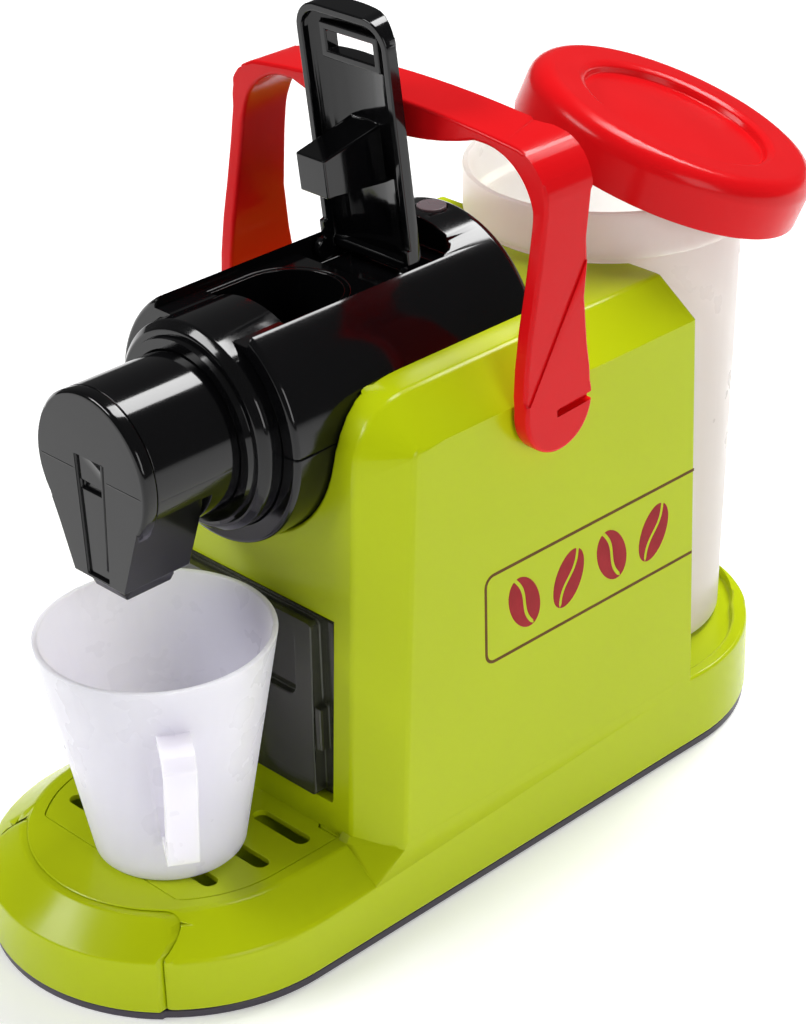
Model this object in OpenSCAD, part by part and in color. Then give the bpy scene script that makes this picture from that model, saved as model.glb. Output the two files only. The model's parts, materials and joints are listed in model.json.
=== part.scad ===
// Toy coffee maker: a stadium base with a tall housing, a lever-topped brew unit over a cup,
// a water tank with its lid laid on askew, and a swinging carrying handle.
// Millimetres, +Z up, the spout faces -Y. The origin is the middle of the base's underside.

/* [Base] */
// Width of the base and of the housing
base_width = 105; // [98:1:112]
// Distance between the centres of the base's two round ends
base_straight = 154; // [146:1:162]
// Thickness of the base plate
plate_thickness = 2.5; // [2:0.1:3]
// How far the base plate's edge stands inside the housing's edge
plate_inset = 0.5; // [0.3:0.1:1.5]
// Height of the upright wall round the front of the base
wall_height = 18; // [16:0.5:20]
// Height of the deck that the cup stands on
deck_height = 26.3; // [25:0.1:28]
// Width of the sloped band between the wall and the deck
deck_slope = 11.5; // [9:0.5:13]
// Thickness of the deck
deck_thickness = 2.7; // [2:0.1:3]
// Height of the rim behind the tank
rim_height = 24.7; // [24:0.1:27]
// Thickness of that rim
rim_thickness = 4.5; // [3:0.5:6]
// Depth of the well that the tank stands in
well_depth = 3.2; // [2:0.1:4]

/* [Housing] */
// Height of the housing's flat top
housing_height = 150; // [147:0.5:153]
// Distance of the housing's front foot before the middle
housing_front = 54.1; // [53:0.1:55]
// Distance of the housing's back foot behind the middle
housing_back = 71.5; // [69:0.5:74]
// How far the front wall leans back over its height
front_lean = 6; // [4:0.5:6.5]
// How far the back wall leans forward over its height
back_lean = 4.8; // [2:0.2:5]
// Width of the bevel round the side panels
bevel_width = 11.5; // [9:0.5:13]
// Depth of that bevel along the front
bevel_depth = 9; // [8:0.5:12]
// Drop of that bevel along the top
bevel_drop = 10.8; // [8:0.2:12]
// Lean of the side panel's front edge beyond that of the front wall
bevel_lean = 2; // [0:0.5:3]
// Radius of the housing's front top edge
shoulder_radius = 18; // [12:1:22]
// Thickness of the housing's outer walls
housing_wall = 2.6; // [2.2:0.1:3.4]

/* [Brew unit] */
// Height of the brew unit's axis
brew_height = 138.5; // [137:0.5:140]
// Radius of the brew unit's body
brew_radius = 33.5; // [32:0.5:34.5]
// Distance of the body's front end before the middle
brew_front = 59.5; // [58:0.5:61]
// Distance of the body's back end behind the middle
brew_back = 29; // [26:1:31]
// Radius of the body's back edge
brew_edge = 4; // [2:0.5:6]
// Gap between the body and its cradle in the housing
cradle_gap = 0.15; // [0.1:0.05:0.3]
// Width of the channel along the body's top
channel_width = 35; // [34:0.5:37]
// Distance of the channel's back end behind the middle
channel_back = 14; // [12:0.5:16]
// Height of the channel's ledges above the axis
channel_floor = 25.7; // [25:0.1:26]
// Radius of the capsule shaft's round end, and half its width
shaft_radius = 14; // [12:0.5:14.5]
// Distance of that round end's centre before the middle
shaft_front = 30; // [29:0.5:31]
// Wall of the sleeve in the capsule shaft
sleeve_wall = 1.4; // [1:0.1:1.8]
// Radius of the collar
collar_radius = 28.2; // [27:0.1:28.5]
// Distance of the collar's front rim before the body's front end
collar_reach = 4; // [3.5:0.5:6]
// Depth of the collar inside the body
collar_depth = 15.5; // [14:0.5:16]
// Distance of the collar's stepped ring before its front rim
collar_step = 3.8; // [3:0.2:5]
// Radius of the nozzle tube
nozzle_radius = 21.3; // [20:0.1:22]
// Thickness of the nozzle tube's wall
nozzle_wall = 2.2; // [1.8:0.1:3]
// Distance of the nozzle's flat face before the middle
nozzle_front = 97.5; // [94:0.5:99]

/* [Spout] */
// Width of the spout at its shoulders
spout_top_width = 40; // [36:0.5:41]
// Width of the spout at its foot
spout_foot_width = 19.5; // [18:0.5:23]
// Length of the spout from front to back
spout_depth = 21.5; // [19:0.5:23]
// Height of the spout's foot
spout_foot = 107.5; // [106:0.5:109]
// Length of the mouth under the foot
mouth_length = 4.5; // [3:0.5:5]
// Wall round the mouth
mouth_wall = 2; // [1.5:0.1:2.5]

/* [Lever] */
// Width of the lever
lever_width = 33; // [32:0.5:33.4]
// Length of the lever from its pivot to its tip
lever_length = 70; // [66:0.5:72]
// Height of the lever's crown above its pivot when it lies flat
lever_crown = 8.6; // [8:0.1:9]
// Height of the lever's long edges above its pivot when it lies flat
lever_edge = 4.6; // [4:0.1:5]
// Height of the foot of the lever's side walls above its pivot
lever_skirt = 1.2; // [1:0.1:1.5]
// Thickness of the lever's walls
lever_wall = 2.2; // [1.8:0.1:2.8]
// Distance of the lever's pivot before the middle
lever_pivot_front = 3; // [2:0.5:4]
// Height of the lever's pivot above the brew unit's axis
lever_pivot_rise = 25; // [24.5:0.1:25.2]
// Radius of the lever's trunnions
trunnion_radius = 1.6; // [1.4:0.1:1.8]
// Radius of the lever's round foot
lever_foot_radius = 3.2; // [2.8:0.1:3.4]
// Lean of the raised lever, in degrees
lever_lean = 6.5; // [4:0.5:8]
// Width of the lever's pushing block
pusher_width = 10.4; // [8:0.2:12]
// Length of that block below the lever's pivot
pusher_reach = 14; // [10:0.5:16]

/* [Carrying handle] */
// Height of the handle's flat top
handle_height = 208.5; // [205:0.5:212]
// Thickness of the handle's strap
handle_thickness = 4.8; // [4.4:0.1:5.4]
// Width of the strap at the top
handle_width = 17.4; // [16:0.2:19]
// Radius of the strap's outer corners
handle_corner = 9; // [7:0.5:13]
// Radius of the corners inside the strap
handle_inner_corner = 17; // [14:0.5:19]
// Radius of the crown along the strap's top
handle_crown = 390; // [300:10:600]
// Distance of the handle's pivot behind the middle
handle_pivot_back = 8.3; // [8:0.1:9]
// Height of the handle's pivot
handle_pivot_height = 137; // [136:0.5:138]
// Radius of the handle's round ends
handle_end_radius = 12.3; // [11:0.1:13]
// Depth of the grip's arch under the strap
grip_drop = 5.5; // [4:0.5:7]
// How far the legs swell outwards below their slanting crease
leg_swell = 0.5; // [0.3:0.1:0.8]
// Radius of the studs that the handle turns on
stud_radius = 3; // [2.5:0.1:3.4]

/* [Tank] */
// Distance of the tank's axis behind the middle
tank_back = 91.4; // [90:0.2:92.6]
// Radius of the tank at its foot
tank_foot_radius = 34.5; // [33:0.5:35.5]
// Radius of the tank below its rim band
tank_top_radius = 38; // [37.5:0.1:38.6]
// Radius of the tank's rim band
tank_rim_radius = 41; // [40:0.2:41.6]
// Height of the tank's rim above the floor
tank_rim_height = 165; // [163:0.5:168]
// Height of the rim band
tank_band_height = 13.5; // [10:0.5:14]
// Thickness of the tank's wall
tank_wall = 1.8; // [1.4:0.1:2.2]

/* [Lid] */
// Height of the lid
lid_height = 15.9; // [15.4:0.1:17]
// Thickness of the lid's walls
lid_wall = 1.3; // [1.2:0.1:1.6]
// Radius of the dish in the lid's top
lid_dish_radius = 27; // [25:0.5:28]
// Depth of that dish
lid_dish_depth = 3; // [2.6:0.1:3.4]
// Tilt of the lid as it lies on the rim, in degrees
lid_tilt = 22.7; // [22:0.1:24]
// Direction in which the lid is low, in degrees from +X towards +Y
lid_direction = 45; // [40:1:50]
// Distance that the lid is pushed off the tank's axis
lid_offset = 13; // [12.6:0.1:13.4]
// Distance that it is pushed sideways, towards +X and -Y
lid_aside = 1.6; // [0:0.2:1.8]

/* [Cup] */
// Outer radius of the cup's rim
cup_rim_radius = 31.4; // [29.4:0.2:31.4]
// Outer radius of the cup's foot
cup_foot_radius = 20; // [18:0.5:21]
// Height of the cup
cup_height = 64.5; // [62:0.5:67]
// Thickness of the cup's wall
cup_wall = 1.6; // [1.3:0.1:2.2]
// Place of the cup to the right of the middle
cup_right = 5.4; // [4:0.2:6]
// Distance of the cup's axis before the middle
cup_front = 85.4; // [85.4:0.2:88]
// Direction of the cup's handle, in degrees from +X towards -Y
cup_handle_angle = 33; // [25:1:45]

/* [Tray and drawer] */
// Width of the drip tray's front
tray_width = 71; // [66:1:72]
// How far the tray's front stands proud of the base
tray_proud = 0.8; // [0.5:0.1:1.2]
// Thickness of the tray's walls
tray_wall = 2.4; // [2:0.1:3]
// Width of the drawer's opening in the housing's front
window_width = 69; // [66:0.5:70]
// Height of the foot of that opening
window_foot = 35; // [34:0.5:36]
// Height of the top of that opening
window_top = 89.5; // [88:0.5:90]
// Width of the drawer's raised front
panel_width = 59; // [56:0.5:61]
// Distance of the drawer's raised front before the middle
panel_front = 54.8; // [54.4:0.1:55]
// How far that front leans back over its height
panel_lean = 0.9; // [0.5:0.1:1.5]
// Depth of the drawer's box
drawer_depth = 44; // [40:1:45]
// Thickness of the drawer's walls
drawer_wall = 1.8; // [1.4:0.1:2.2]

/* [Clearances] */
// Gap beside pieces that slide
slide_gap = 0.35; // [0.3:0.05:0.45]
// Gap between pieces that stand on each other
seat_gap = 0.1; // [0.05:0.05:0.2]
// Gap round pieces that turn on a pin
running_gap = 0.06; // [0.03:0.01:0.09]
// Gap round pieces that are pushed in for good
fixed_gap = 0.02; // [0.01:0.01:0.05]

/* [Hidden] */
$fn = 64;
green = [0.72, 0.78, 0.19];
black = [0.07, 0.07, 0.08];
red = [0.85, 0.08, 0.07];
milky = [0.88, 0.84, 0.79, 0.6];
smoky = [0.13, 0.14, 0.08, 0.85];
steel = [0.7, 0.7, 0.72];
over = 1; // how far a cutting tool runs past what it cuts

half_width = base_width / 2;
half_straight = base_straight / 2;
ridge_x = half_width - bevel_width;
deck_radius = half_width - deck_slope;
well_floor = rim_height - well_depth;
brew_length = brew_front + brew_back;
channel_half = channel_width / 2;
channel_z = brew_height + channel_floor;

// ---------- shared shapes ----------

module stadium(r) {
    translate([-r, -half_straight]) square([2 * r, base_straight]);
    for (end = [-1, 1]) translate([0, end * half_straight]) circle(r);
}

// a cylinder that lies along Y, from y_start, and along X, from x_start
module along_y(r, y_start, length)
    translate([0, y_start, 0]) rotate([-90, 0, 0]) cylinder(r = r, h = length);
module along_x(r, x_start, length)
    translate([x_start, 0, 0]) rotate([0, 90, 0]) cylinder(r = r, h = length);

// a solid of revolution about the Y axis: its outline is given as [radius, y]
module turned_y(outline) rotate([-90, 0, 0]) rotate_extrude() polygon(outline);

// an upright slice whose outline is given as [y, z], centred on x = 0
module side_slice(width)
    translate([-width / 2, 0, 0]) rotate([90, 0, 90]) linear_extrude(width) children();

// an outline in X and Z, extruded along Y from y_start
module front_slice(y_start, length)
    translate([0, y_start + length, 0]) rotate([90, 0, 0]) linear_extrude(length) children();

module rounded_box_2d(width, height, r) {
    translate([-width / 2 + r, 0]) square([width - 2 * r, height]);
    translate([-width / 2, r]) square([width, height - 2 * r]);
    for (sx = [-1, 1], z = [r, height - r]) translate([sx * (width / 2 - r), z]) circle(r);
}

// ---------- housing ----------

function front_y(z) = -housing_front + front_lean * (z - deck_height) / (housing_height - deck_height);
function back_y(z) = housing_back - back_lean * z / housing_height;

// outline of the housing in Y and Z, drawn in by an inset at its foot, another at its top and a drop
module housing_outline(foot_inset, top_inset, drop, r, back_lift) {
    top = housing_height - drop;
    foot_y = front_y(plate_thickness) + foot_inset;
    corner_y = front_y(top) + top_inset + r;
    arc = [for (a = [180:-15:90]) [corner_y + r * cos(a), top - r + r * sin(a)]];
    polygon(concat([[foot_y, plate_thickness]], arc,
        [[back_y(top) + back_lift, top], [back_y(plate_thickness), plate_thickness]]));
}

// the housing's outer form, or the same form drawn in all round by a wall
module housing_form(wall) {
    hull() {
        side_slice(2 * (ridge_x - wall * 0.5))
            housing_outline(wall, wall, wall, shoulder_radius - wall, -wall);
        side_slice(base_width - 2 * wall)
            housing_outline(bevel_depth + wall * 0.5, bevel_depth + bevel_lean + wall * 0.5,
                bevel_drop + wall * 0.5, 2, 1.7 - wall);
    }
}

// the small facet at the foot of the bevel, over the base's sloped band
module foot_facet() {
    y_low = -housing_front - 2.3;
    y_back = -housing_front + bevel_depth + 0.1;
    for (side = [0, 1]) mirror([side, 0, 0]) hull() {
        translate([ridge_x - 3, y_low + 1, deck_height - 1]) cube([3, 12, 1]);
        translate([ridge_x - 3, -housing_front + 0.1, deck_height]) cube([3, 10, 1.8]);
        translate([half_width - 3, y_low + 0.6, wall_height - 2]) cube([3, 10, 2.4]);
        translate([half_width - 3, y_back, wall_height]) cube([3, 3, 6.4]);
    }
}

// the base in front of the housing: a wall, a sloped band and a deck
module front_base_form() {
    outline = [[0, plate_thickness], [half_width, plate_thickness], [half_width, wall_height],
        [deck_radius, deck_height], [0, deck_height]];
    translate([0, -half_straight, 0]) rotate_extrude() polygon(outline);
    for (side = [0, 1]) mirror([side, 0, 0])
        front_slice(-half_straight, half_straight - housing_front + bevel_depth) polygon(outline);
}

module back_base_form() {
    translate([0, 0, plate_thickness]) linear_extrude(rim_height - plate_thickness) intersection() {
        stadium(half_width);
        translate([-half_width, 0]) square([base_width, half_straight + half_width]);
    }
}

// the floor of the well behind the housing, as an outline in X and Y
module well_outline() {
    translate([0, half_straight]) circle(half_width - rim_thickness);
    translate([-half_width + rim_thickness, 0])
        square([base_width - 2 * rim_thickness, half_straight]);
}

// space for the tank: the housing's back wall is hollowed round it
module tank_space() {
    translate([0, tank_back, well_floor]) cylinder(r = tank_top_radius + 0.8, h = housing_height);
}

module well_space() {
    difference() {
        translate([0, 0, well_floor]) linear_extrude(rim_height) well_outline();
        side_slice(base_width) polygon([[-over, 0], [back_y(0), 0],
            [back_y(housing_height), housing_height], [-over, housing_height]]);
    }
}

// outline of the drip tray's front in X and Z
module tray_outline(gap) {
    r = 8;
    top = deck_height - 0.6 + gap;
    half = tray_width / 2 + gap;
    translate([-half, 0]) square([2 * half, top - r]);
    translate([-half + r, 0]) square([2 * (half - r), top]);
    for (sx = [-1, 1]) translate([sx * (half - r), top - r]) circle(r);
}

// the skin of the base's front, with an outward and an inward allowance
module front_skin(outward, inward) {
    slope_in = inward * 0.6;
    outline = [[half_width - inward, 0], [half_width + outward, 0],
        [half_width + outward, wall_height + outward * 0.4],
        [deck_radius + outward * 1.6, deck_height + outward * 0.1],
        [deck_radius - slope_in, deck_height + outward * 0.1 - 0.01],
        [deck_radius - slope_in, deck_height - deck_thickness],
        [half_width - inward, wall_height - inward * 0.3]];
    intersection() {
        translate([0, -half_straight, 0]) rotate_extrude() polygon(outline);
        translate([-half_width - outward - over, -half_straight - half_width - outward - over, 0])
            cube([base_width + 2 * outward + 2 * over, half_width + outward + over, deck_height * 2]);
    }
}

tray_box_half = tray_width / 2 - tray_wall - slide_gap;
tray_back = -housing_front + 4;
tray_top = deck_height - deck_thickness;

// space for the tray under the deck, open at the front
module tray_space() {
    intersection() {
        front_skin(3, tray_wall + slide_gap);
        front_slice(-half_straight - half_width - 3 * over, half_width + 3 * over)
            tray_outline(slide_gap);
    }
    reach = tray_box_half + slide_gap;
    translate([0, 0, plate_thickness - over]) linear_extrude(tray_top - plate_thickness + over)
        intersection() {
            translate([-reach, -half_straight - half_width])
                square([2 * reach, half_width + half_straight + tray_back]);
            stadium(half_width - tray_wall);
        }
}

// outline of the drip grille in X and Y, drawn in by an inset
grille_front = 102;
grille_radius = deck_radius - 4;
module grille_outline(inset) {
    intersection() {
        union() {
            translate([0, -half_straight]) circle(grille_radius - inset);
            translate([-grille_radius + inset, -half_straight])
                square([2 * (grille_radius - inset), half_straight - housing_front - 1 - inset]);
        }
        translate([-half_width, -grille_front + inset]) square([base_width, grille_front]);
    }
}
grille_thickness = 1.8;
grille_ledge = 2.4;

// the window for the capsule drawer, and the shaft that drops into it
window_half = window_width / 2;
drawer_back = -housing_front + front_lean + drawer_depth;
module drawer_space() {
    translate([-window_half, -housing_front - over, window_foot])
        cube([window_width, housing_front + over + drawer_back, window_top - window_foot]);
}
// the shaft's outline in X and Y: round at the back, straight to the collar at the front
module shaft_outline(r) {
    intersection() {
        translate([0, -shaft_front]) circle(r);
        translate([-r - over, collar_back + 1]) square([2 * r + 2 * over, 3 * r]);
    }
    translate([-r, collar_back]) square([2 * r, -shaft_front - collar_back]);
}
module capsule_shaft(r, z_start, z_end)
    translate([0, 0, z_start]) linear_extrude(z_end - z_start) shaft_outline(r);

// round bosses that carry the handle's studs
stud_boss_radius = 7;
stud_boss_height = 0.5;
stud_depth = 9;
module stud_place(side)
    mirror([side < 0 ? 1 : 0, 0, 0]) translate([0, handle_pivot_back, handle_pivot_height]) children();

// all that the housing's outer mouldings share, before they are parted at the deck's height
module whole_form() {
    housing_form(0);
    front_base_form();
    back_base_form();
    foot_facet();
    for (side = [-1, 1]) stud_place(side)
        along_x(stud_boss_radius, ridge_x, bevel_width + stud_boss_height);
}

// everything above or below the parting line
seam_z = deck_height;
module slab(z_start, z_end) translate([-base_width, -base_width * 2, z_start])
    cube([2 * base_width, 4 * base_width, z_end - z_start]);

// the back wall's outline in Y and Z, moved in by a wall, to cut away what is behind it
module before_back_wall(wall) side_slice(2 * base_width) polygon([[-over, 0], [back_y(0) - wall, 0],
    [back_y(housing_height) - wall, housing_height], [-over, housing_height]]);

// the hollow inside the tall housing
module upper_hollow() {
    w = housing_wall;
    difference() {
        housing_form(w);
        // what stays: the cradle, the shaft's wall, the tank's wall, the posts and the stud bosses
        translate([0, 0, brew_height])
            along_y(brew_radius + cradle_gap + w, -brew_front - over, brew_length + over + 0.3 + w);
        translate([0, tank_back, 0]) cylinder(r = tank_top_radius + 0.8 + w, h = 2 * housing_height);
        capsule_shaft(shaft_radius + sleeve_wall + w, case_top + fixed_gap, brew_height);
        for (place = shell_screw_places) translate([place[0], place[1], shell_screw_foot - 14])
            cylinder(r = screw_post_radius + 2, h = 20);
        for (side = [-1, 1]) stud_place(side)
            along_x(stud_boss_radius, half_width - stud_depth - w, stud_depth + w);
    }
}

// the hollow inside the base, closed by the base plate
module base_hollow() {
    w = housing_wall;
    difference() {
        union() {
            linear_extrude(well_floor - w) intersection() {
                stadium(half_width - w);
                translate([-half_width, -housing_front + base_front_rib])
                    square([base_width, base_width + base_straight]);
            }
            intersection() {
                housing_form(w);
                translate([-half_width, -housing_front + base_front_rib, 0])
                    cube([base_width, base_straight + base_width, housing_height]);
                before_back_wall(w);
            }
        }
        translate([0, tank_back, well_floor - w])
            cylinder(r = tank_top_radius + 0.8 + w, h = housing_height);
        for (place = base_screw_places) translate([place[0], place[1], 0])
            cylinder(r = screw_post_radius, h = well_floor - w);
    }
}
base_front_rib = 8;

// tongues on the base that stand inside the tall housing's side walls
tongue_length = 50;
tongue_rise = 4;
module tongues() {
    w = housing_wall;
    thick = 1.6;
    inner = half_width - w - fixed_gap - thick;
    for (side = [0, 1]) mirror([side, 0, 0]) {
        translate([inner, -38, seam_z - 8]) cube([half_width - over - inner, tongue_length, 8]);
        translate([inner, -38, seam_z - over]) cube([thick, tongue_length, tongue_rise + over]);
    }
}

module base_shell() {
    color(green) difference() {
        union() {
            difference() {
                intersection() {
                    whole_form();
                    slab(0, seam_z);
                }
                base_hollow();
            }
            tongues();
        }
        tank_space();
        well_space();
        tray_space();
        translate([0, 0, tray_top - over]) linear_extrude(deck_height) grille_outline(grille_ledge);
        translate([0, 0, deck_height - grille_thickness])
            linear_extrude(deck_height) grille_outline(-slide_gap);
        for (place = base_screw_places) translate([place[0], place[1], 0])
            cylinder(r = screw_radius + fixed_gap, h = plate_thickness + screw_reach + seat_gap);
    }
}

module main_housing() {
    color(green) difference() {
        intersection() {
            whole_form();
            slab(seam_z + fixed_gap, 2 * housing_height);
        }
        translate([0, 0, brew_height])
            along_y(brew_radius + cradle_gap, -brew_front - over, brew_length + over + 0.3);
        tank_space();
        drawer_space();
        capsule_shaft(shaft_radius + sleeve_wall + fixed_gap, window_top - over, brew_height);
        for (side = [-1, 1]) stud_place(side)
            along_x(stud_radius + fixed_gap, half_width - stud_depth, stud_depth + 2 * over);
        for (place = shell_screw_places) translate([place[0], place[1], 0])
            shell_screw_hole();
        upper_hollow();
    }
}

// the case round the drawer, open to the window and to the capsule shaft above it
case_top = window_top + housing_wall;
module drawer_case() {
    w = housing_wall;
    color(green) difference() {
        intersection() {
            translate([-window_half - w, -housing_front, window_foot - w])
                cube([window_width + 2 * w, drawer_back + housing_front + w, case_top - window_foot + w]);
            housing_form(w + fixed_gap);
        }
        drawer_space();
        capsule_shaft(shaft_radius + sleeve_wall + fixed_gap, window_top - over, case_top + over);
    }
}

// ---------- base plate and its screws ----------

screw_radius = 1.5;
screw_head_radius = 3;
screw_head_height = 1.3;
screw_reach = 9;
screw_post_radius = 4.5;
// the screw places stand by the side walls, and the last two under the well
post_x = half_width - housing_wall - screw_post_radius + 1;
base_screw_places = [for (sx = [-1, 1], spot = [[post_x, -33], [post_x, 20],
    [post_x - 7, half_straight + 22]]) [sx * spot[0], spot[1]]];

module base_plate() {
    color([0.25, 0.23, 0.28]) difference() {
        union() {
            linear_extrude(plate_thickness) stadium(half_width - plate_inset);
            intersection() {
                translate([0, -half_straight, 0])
                    cylinder(r = half_width + tray_proud - plate_inset, h = plate_thickness);
                translate([-tray_width / 2, -half_straight - base_width, 0])
                    cube([tray_width, base_width, plate_thickness]);
            }
        }
        for (place = base_screw_places) translate([place[0], place[1], 0]) {
            translate([0, 0, -over])
                cylinder(r = screw_head_radius + 0.2, h = screw_head_height + over);
            cylinder(r = screw_radius + 0.1, h = plate_thickness + over);
        }
    }
}

module screw(reach, head_height) {
    difference() {
        union() {
            cylinder(r = screw_head_radius, h = head_height);
            cylinder(r = screw_radius, h = head_height + reach);
        }
        for (turn = [0, 90]) rotate([0, 0, turn]) translate([-1.6, -0.35, -over])
            cube([3.2, 0.7, over + 0.7]);
    }
}

module base_screws() {
    color(steel) for (place = base_screw_places) translate([place[0], place[1], 0.05])
        screw(screw_reach + plate_thickness - screw_head_height - 0.05, screw_head_height - 0.1);
}

// ---------- drip tray and grille ----------

module drip_tray() {
    floor_z = plate_thickness + seat_gap;
    color(green) difference() {
        union() {
            intersection() {
                front_skin(tray_proud, tray_wall);
                front_slice(-half_straight - half_width - 2 * over, half_width + 2 * over)
                    tray_outline(0);
                translate([-half_width, -half_straight - base_width, floor_z])
                    cube([base_width, base_width, deck_height]);
            }
            translate([0, 0, floor_z]) linear_extrude(tray_depth) tray_floor_outline(0);
        }
        translate([0, 0, floor_z + tray_wall]) linear_extrude(tray_depth) tray_floor_outline(tray_wall);
    }
}
tray_depth = 15;
module tray_floor_outline(inset) {
    half = tray_box_half - inset;
    intersection() {
        translate([-half, -half_straight - half_width])
            square([2 * half, half_width + half_straight + tray_back - slide_gap - inset]);
        stadium(half_width - tray_wall - inset);
    }
}

slot_width = 4.6;
slot_rows = [61.9, 76.4, 91];
slot_segments = [[-32.8, -12.6], [-8.6, 8.6], [12.6, 32.8]];
module slot(x_start, x_end, y) {
    r = slot_width / 2;
    translate([x_start + r, y - r]) square([x_end - x_start - slot_width, slot_width]);
    for (x = [x_start + r, x_end - r]) translate([x, y]) circle(r);
}

module drip_grille() {
    row_reach = [0, 0, -3.6];
    color(green) translate([0, 0, deck_height - grille_thickness + 0.02]) difference() {
        linear_extrude(grille_thickness - 0.02) grille_outline(0);
        translate([0, 0, -over]) linear_extrude(grille_thickness + 2 * over)
            for (i = [0:2], part = slot_segments)
                slot(part[0] - (part[0] < -20 ? row_reach[i] : 0),
                    part[1] + (part[1] > 20 ? row_reach[i] : 0), -slot_rows[i]);
    }
}

// ---------- capsule drawer ----------

module capsule_drawer() {
    foot = window_foot + slide_gap;
    top = window_top - slide_gap;
    flange_front = front_y(window_foot) + 3;
    box_half = window_half - slide_gap - 2;
    box_depth = drawer_back - slide_gap - flange_front;
    recess_foot = top - 1.4 - 24;
    color(smoky) difference() {
        union() {
            intersection() {
                front_slice(-panel_front, flange_front + panel_front + 1) translate([0, foot])
                    rounded_box_2d(panel_width - 0.8, top - foot - 1.4, 1.5);
                side_slice(panel_width) polygon([[-panel_front, foot - over], [0, foot - over],
                    [0, top + over], [-panel_front + panel_lean, top + over]]);
            }
            translate([-window_half + slide_gap, flange_front, foot])
                cube([window_width - 2 * slide_gap, drawer_wall, top - foot]);
            translate([-box_half, flange_front, foot]) cube([2 * box_half, box_depth, top - foot - 4]);
            for (side = [-1, 1])
                translate([side * panel_width / 2, flange_front + 0.5, foot + 21]) grip_nib();
        }
        translate([-box_half + drawer_wall, flange_front + drawer_wall, foot + drawer_wall])
            cube([2 * (box_half - drawer_wall), box_depth - 2 * drawer_wall, top]);
        front_slice(-panel_front - over, over + 2.6) translate([0, recess_foot])
            rounded_box_2d(panel_width - 14, 20.5, 3);
    }
}
module grip_nib() rotate([90, 0, 0]) intersection() {
    translate([0, 0, 0]) cylinder(r = 6.5, h = panel_front + front_y(window_foot) + 2.6);
    translate([-1.7, -8, 0]) cube([3.4, 16, 10]);
}

// ---------- brew unit ----------

// the channel along the top, open at the front and round at its back corners
module channel(gap) {
    half = channel_half - gap;
    corner = 6;
    translate([0, 0, channel_z]) linear_extrude(brew_radius) {
        translate([-half, -brew_front - over])
            square([2 * half, brew_front + over + channel_back - corner]);
        translate([-half + corner, -brew_front]) square([2 * (half - corner), brew_front + channel_back]);
        for (sx = [-1, 1]) translate([sx * (half - corner), channel_back - corner]) circle(corner);
    }
}

module at_pivot() translate([0, -lever_pivot_front, brew_height + lever_pivot_rise]) children();

// room under the back of the channel for the lever's round foot
pocket_depth = 6;
cheek_length = 8;
module lever_pocket() {
    front = lever_pivot_front + cheek_length + 0.6;
    translate([-channel_half, -front, channel_z - pocket_depth])
        cube([channel_width, front + channel_back - 6, pocket_depth + over]);
}

collar_back = -brew_front + collar_depth;
module brew_form() {
    r = brew_radius;
    e = brew_edge;
    corner = [for (a = [0:15:90]) [r - e + e * cos(a), brew_back - e + e * sin(a)]];
    translate([0, 0, brew_height]) turned_y(concat(
        [[0, -brew_front], [r - 1, -brew_front], [r, -brew_front + 1]], corner, [[0, brew_back]]));
}

module brew_cuts() {
    channel(0);
    lever_pocket();
    capsule_shaft(shaft_radius + sleeve_wall + fixed_gap, window_top - over, channel_z + over);
    translate([0, 0, brew_height])
        along_y(collar_radius + fixed_gap, -brew_front - over, collar_depth + over + fixed_gap);
    at_pivot() along_x(trunnion_radius + running_gap, -trunnion_half - seat_gap,
        2 * (trunnion_half + seat_gap));
    button_space();
    for (place = shell_screw_places) translate([place[0], place[1], 0]) shell_screw_hole();
}

module half_space(upper)
    slab(upper ? brew_height : brew_height - 2 * brew_radius, brew_height + (upper ? 2 * brew_radius : 0));

module brew_lower_shell() {
    color(black) difference() {
        intersection() {
            brew_form();
            half_space(false);
        }
        brew_cuts();
    }
}

module brew_upper_shell() {
    color(black) difference() {
        intersection() {
            brew_form();
            translate([0, 0, 0.02]) half_space(true);
        }
        brew_cuts();
    }
}

// screws that hold the brew unit down, driven from inside the housing
shell_screw_places = [[-18, 20], [18, 20]];
shell_screw_foot = brew_height - brew_radius + 1;
shell_screw_reach = 40;
module shell_screw_hole() translate([0, 0, shell_screw_foot - 12]) {
    cylinder(r = screw_radius + fixed_gap, h = shell_screw_reach + 12);
    cylinder(r = screw_head_radius + 0.3, h = 12);
}
module shell_screws() {
    color(steel) for (place = shell_screw_places)
        translate([place[0], place[1], shell_screw_foot - screw_head_height])
            screw(shell_screw_reach - seat_gap, screw_head_height);
}

module capsule_sleeve() {
    foot = window_top + 0.5;
    color(black) difference() {
        capsule_shaft(shaft_radius + sleeve_wall, foot, channel_z);
        capsule_shaft(shaft_radius, foot - over, channel_z + over);
        translate([0, 0, brew_height]) along_y(collar_radius + 0.1, -brew_front, collar_depth + 0.1);
    }
}

// ---------- collar and nozzle ----------

module collar_ring() {
    r = collar_radius;
    rim = -brew_front - collar_reach;
    bore = nozzle_radius + fixed_gap;
    color(black) translate([0, 0, brew_height]) turned_y([[bore, collar_back], [r - 0.6, collar_back],
        [r, collar_back + 0.6], [r, rim], [r - 2, rim - 2], [bore + 3.4, rim - 2],
        [bore + 3, rim - collar_step], [bore, rim - collar_step]]);
}

spout_face_depth = 4;
module nozzle_tube() {
    r = nozzle_radius;
    back = collar_back;
    front = -nozzle_front + spout_face_depth;
    color(black) difference() {
        translate([0, 0, brew_height])
            turned_y([[r - nozzle_wall, back], [r, back], [r, front], [r - nozzle_wall, front]]);
        // the spout's chute comes in from below
        translate([-spout_top_width / 2, front - over, 0])
            cube([spout_top_width, spout_depth - spout_face_depth + over + 0.2, brew_height - 4]);
        // parting line along both sides
        for (side = [-1, 1]) translate([side * r, front, brew_height - 2.4])
            rotate([-90, 0, 0])
                cylinder(r = 0.25, h = nozzle_front - brew_front - collar_reach - 6, $fn = 4);
    }
}

// ---------- spout ----------

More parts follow.
